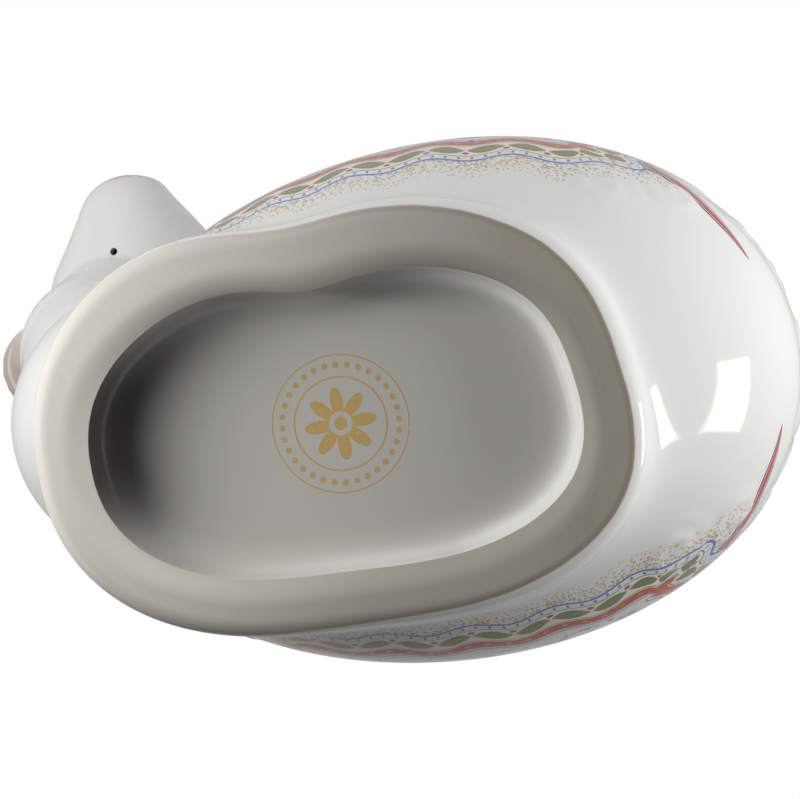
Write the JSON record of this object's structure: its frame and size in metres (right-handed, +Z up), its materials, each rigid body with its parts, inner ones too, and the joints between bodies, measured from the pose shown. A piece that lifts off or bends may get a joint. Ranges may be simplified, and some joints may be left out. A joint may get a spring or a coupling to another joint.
{
  "type": "figural liquor decanter",
  "caption": "Glazed porcelain decanter shaped as a lying ram with its head turned aside, on an oval foot ring around a recessed base, closed by a knob stopper with a cork plug.",
  "frame": {"origin": "centre of the foot ring's outline, on the table", "axes": "+Z up along the neck and stopper, +X from the chest to the rump, -Y to the animal's left flank, where the face looks"},
  "size_m": [0.1791, 0.117, 0.1365],
  "materials": {
    "glazed_porcelain": "gloss",
    "gilded_porcelain": "gloss",
    "cork": "matte"
  },
  "bodies": {
    "bottle": {"body_shell": "glazed_porcelain", "head_shell": "glazed_porcelain", "right_horn": "gilded_porcelain", "left_horn": "gilded_porcelain", "right_ear": "glazed_porcelain", "left_ear": "glazed_porcelain", "tail": "glazed_porcelain"},
    "stopper": {"stopper_knob": "glazed_porcelain", "stopper_cork": "cork"}
  },
  "joints": [
    {"name": "stopper_lift", "type": "slide", "parent": "bottle", "child": "stopper", "axis": [0, 0, 1], "range_m": [0, 0.045]}
  ]
}
